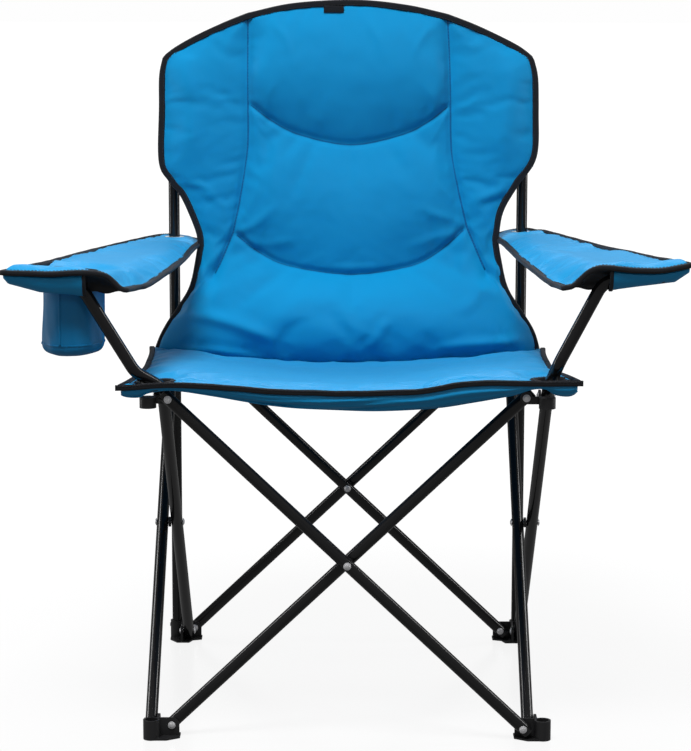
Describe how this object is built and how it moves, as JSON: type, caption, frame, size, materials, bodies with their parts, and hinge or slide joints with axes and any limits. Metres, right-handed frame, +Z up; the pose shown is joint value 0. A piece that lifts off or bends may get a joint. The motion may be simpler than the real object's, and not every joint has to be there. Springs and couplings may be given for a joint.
{
  "type": "folding camp chair",
  "caption": "Folding camp chair: crossed black steel tubes on four feet, padded blue cloth seat and high back, cloth armrests with a cup holder, folding inward into a narrow bundle.",
  "frame": {"origin": "middle of the chair's bounding box on the floor, midway between the four feet", "axes": "+Z up, the front faces -Y, +X is to the right seen from the front"},
  "size_m": [0.8798, 0.576, 0.9507],
  "materials": {
    "black_tube": "gloss black powder coat",
    "black_plastic": "satin moulded",
    "rivet_steel": "domed, bright",
    "blue_cloth": "coated polyester weave",
    "dark_blue_cloth": "coated polyester weave, single layer",
    "binding": "folded black tape"
  },
  "bodies": {
    "rear_left_frame": {"foot_rear_left": "black_plastic", "foot_rivets_rear_left": "rivet_steel", "post_left": "black_tube", "post_caps_left": "black_plastic", "back_panel": "blue_cloth", "back_binding": "binding", "back_sleeve_left": "blue_cloth", "back_label": "binding"},
    "rear_bar_a_body": {"rear_bar_a": "black_tube", "rear_bar_a_plugs": "black_plastic", "rear_cross_rivet": "rivet_steel", "rear_spacer": "black_plastic"},
    "rear_bar_b_body": {"rear_bar_b": "black_tube", "rear_bar_b_plugs": "black_plastic"},
    "rear_right_frame": {"foot_rear_right": "black_plastic", "foot_rivets_rear_right": "rivet_steel", "post_right": "black_tube", "post_caps_right": "black_plastic", "back_sleeve_right": "blue_cloth"},
    "slider_left": {"collar_left": "black_plastic", "collar_rivets_left": "rivet_steel"},
    "slider_right": {"collar_right": "black_plastic", "collar_rivets_right": "rivet_steel"},
    "arm_leg_left_body": {"arm_leg_left": "black_tube", "arm_leg_left_plugs": "black_plastic", "side_cross_rivet_left": "rivet_steel", "side_spacer_left": "black_plastic"},
    "side_bar_left_body": {"side_bar_left": "black_tube", "side_bar_left_plugs": "black_plastic"},
    "front_left_foot": {"foot_front_left": "black_plastic", "foot_rivets_front_left": "rivet_steel"},
    "seat_hub_left": {"hub_left": "black_plastic", "hub_rivets_left": "rivet_steel"},
    "front_bar_a_body": {"front_bar_a": "black_tube", "front_bar_a_plugs": "black_plastic", "front_cross_rivet": "rivet_steel", "front_spacer": "black_plastic"},
    "front_bar_b_body": {"front_bar_b": "black_tube", "front_bar_b_plugs": "black_plastic"},
    "arm_leg_right_body": {"arm_leg_right": "black_tube", "arm_leg_right_plugs": "black_plastic", "side_cross_rivet_right": "rivet_steel", "side_spacer_right": "black_plastic"},
    "side_bar_right_body": {"side_bar_right": "black_tube", "side_bar_right_plugs": "black_plastic"},
    "front_right_foot": {"foot_front_right": "black_plastic", "foot_rivets_front_right": "rivet_steel"},
    "seat_hub_right": {"hub_right": "black_plastic", "hub_rivets_right": "rivet_steel"},
    "seat_rear_half": {"seat_rear": "blue_cloth"},
    "seat_front_half": {"seat_front": "blue_cloth", "seat_binding": "binding", "seat_valance": "dark_blue_cloth", "seat_eyelets": "rivet_steel"},
    "left_armrest": {"armrest_left": "blue_cloth", "cup_holder": "dark_blue_cloth"},
    "right_armrest": {"armrest_right": "blue_cloth"},
    "arm_ring_left": {"arm_grommet_left": "rivet_steel"},
    "arm_ring_right": {"arm_grommet_right": "rivet_steel"}
  },
  "joints": [
    {"name": "fold", "type": "hinge", "parent": "rear_left_frame", "child": "rear_bar_a_body", "pos_m": [-0.2295, 0.2475, 0.016], "axis": [0, -1, 0], "range_deg": [0, 36], "deforming": ["back_panel", "back_binding", "back_label", "seat_rear", "seat_front", "seat_binding", "seat_valance", "seat_eyelets", "armrest_left", "armrest_right", "cup_holder", "back_sleeve_left", "back_sleeve_right"]},
    {"name": "rear_cross", "type": "hinge", "parent": "rear_bar_a_body", "child": "rear_bar_b_body", "pos_m": [0, 0.2475, 0.2335], "axis": [0, -1, 0], "range_deg": [-72, 0]},
    {"name": "rear_right_foot", "type": "hinge", "parent": "rear_bar_b_body", "child": "rear_right_frame", "pos_m": [0.2295, 0.2475, 0.016], "axis": [0, -1, 0], "range_deg": [0, 36]},
    {"name": "slider_left_pivot", "type": "hinge", "parent": "rear_bar_b_body", "child": "slider_left", "pos_m": [-0.2295, 0.2475, 0.451], "axis": [0, -1, 0], "range_deg": [0, 36]},
    {"name": "slider_right_pivot", "type": "hinge", "parent": "rear_bar_a_body", "child": "slider_right", "pos_m": [0.2295, 0.2475, 0.451], "axis": [0, -1, 0], "range_deg": [-36, 0]},
    {"name": "left_leg", "type": "hinge", "parent": "rear_left_frame", "child": "arm_leg_left_body", "pos_m": [-0.2475, 0.2295, 0.016], "axis": [-1, 0, 0], "range_deg": [0, 36]},
    {"name": "left_cross", "type": "hinge", "parent": "arm_leg_left_body", "child": "side_bar_left_body", "pos_m": [-0.2475, 0, 0.2335], "axis": [-1, 0, 0], "range_deg": [-72, 0]},
    {"name": "front_left_pivot", "type": "hinge", "parent": "side_bar_left_body", "child": "front_left_foot", "pos_m": [-0.2475, -0.2295, 0.016], "axis": [-1, 0, 0], "range_deg": [0, 36]},
    {"name": "left_hub", "type": "hinge", "parent": "arm_leg_left_body", "child": "seat_hub_left", "pos_m": [-0.2475, -0.2295, 0.451], "axis": [-1, 0, 0], "range_deg": [-36, 0]},
    {"name": "front_leg", "type": "hinge", "parent": "front_left_foot", "child": "front_bar_a_body", "pos_m": [-0.2295, -0.2475, 0.016], "axis": [0, -1, 0], "range_deg": [0, 36]},
    {"name": "front_cross", "type": "hinge", "parent": "front_bar_a_body", "child": "front_bar_b_body", "pos_m": [0, -0.2475, 0.2335], "axis": [0, -1, 0], "range_deg": [-72, 0]},
    {"name": "right_leg", "type": "hinge", "parent": "rear_right_frame", "child": "arm_leg_right_body", "pos_m": [0.2475, 0.2295, 0.016], "axis": [-1, 0, 0], "range_deg": [0, 36]},
    {"name": "right_cross", "type": "hinge", "parent": "arm_leg_right_body", "child": "side_bar_right_body", "pos_m": [0.2475, 0, 0.2335], "axis": [-1, 0, 0], "range_deg": [-72, 0]},
    {"name": "front_right_pivot", "type": "hinge", "parent": "side_bar_right_body", "child": "front_right_foot", "pos_m": [0.2475, -0.2295, 0.016], "axis": [-1, 0, 0], "range_deg": [0, 36]},
    {"name": "right_hub", "type": "hinge", "parent": "arm_leg_right_body", "child": "seat_hub_right", "pos_m": [0.2475, -0.2295, 0.451], "axis": [-1, 0, 0], "range_deg": [-36, 0]},
    {"name": "seat_rear_fold", "type": "hinge", "parent": "slider_left", "child": "seat_rear_half", "pos_m": [-0.2555, 0.215, 0.452], "axis": [1, 0, 0], "range_deg": [0, 74.52]},
    {"name": "seat_front_fold", "type": "hinge", "parent": "seat_hub_left", "child": "seat_front_half", "pos_m": [-0.248, -0.25, 0.469], "axis": [-1, 0, 0], "range_deg": [0, 74.52]},
    {"name": "left_arm_fold", "type": "hinge", "parent": "arm_leg_left_body", "child": "left_armrest", "pos_m": [-0.338, -0.27, 0.598], "axis": [-1, 0, 0], "range_deg": [0, 23.76]},
    {"name": "right_arm_fold", "type": "hinge", "parent": "arm_leg_right_body", "child": "right_armrest", "pos_m": [0.324, -0.27, 0.606], "axis": [-1, 0, 0], "range_deg": [0, 23.76]},
    {"name": "arm_ring_left_slide", "type": "slide", "parent": "rear_left_frame", "child": "arm_ring_left", "axis": [0, 0, 1], "range_m": [0, 0.06284]},
    {"name": "arm_ring_right_slide", "type": "slide", "parent": "rear_right_frame", "child": "arm_ring_right", "axis": [0, 0, 1], "range_m": [0, 0.06284]}
  ],
  "couplings": [
    {"joint": "rear_cross", "follows": "fold", "ratio": -2},
    {"joint": "rear_right_foot", "follows": "fold", "ratio": 1},
    {"joint": "slider_left_pivot", "follows": "fold", "ratio": 1},
    {"joint": "slider_right_pivot", "follows": "fold", "ratio": -1},
    {"joint": "left_leg", "follows": "fold", "ratio": 1},
    {"joint": "left_cross", "follows": "fold", "ratio": -2},
    {"joint": "front_left_pivot", "follows": "fold", "ratio": 1},
    {"joint": "left_hub", "follows": "fold", "ratio": -1},
    {"joint": "front_leg", "follows": "fold", "ratio": 1},
    {"joint": "front_cross", "follows": "fold", "ratio": -2},
    {"joint": "right_leg", "follows": "fold", "ratio": 1},
    {"joint": "right_cross", "follows": "fold", "ratio": -2},
    {"joint": "front_right_pivot", "follows": "fold", "ratio": 1},
    {"joint": "right_hub", "follows": "fold", "ratio": -1},
    {"joint": "seat_rear_fold", "follows": "fold", "ratio": 2.07},
    {"joint": "seat_front_fold", "follows": "fold", "ratio": 2.07},
    {"joint": "left_arm_fold", "follows": "fold", "ratio": 0.66},
    {"joint": "right_arm_fold", "follows": "fold", "ratio": 0.66},
    {"joint": "arm_ring_left_slide", "follows": "fold", "m_per_rad": 0.1},
    {"joint": "arm_ring_right_slide", "follows": "fold", "m_per_rad": 0.1}
  ]
}
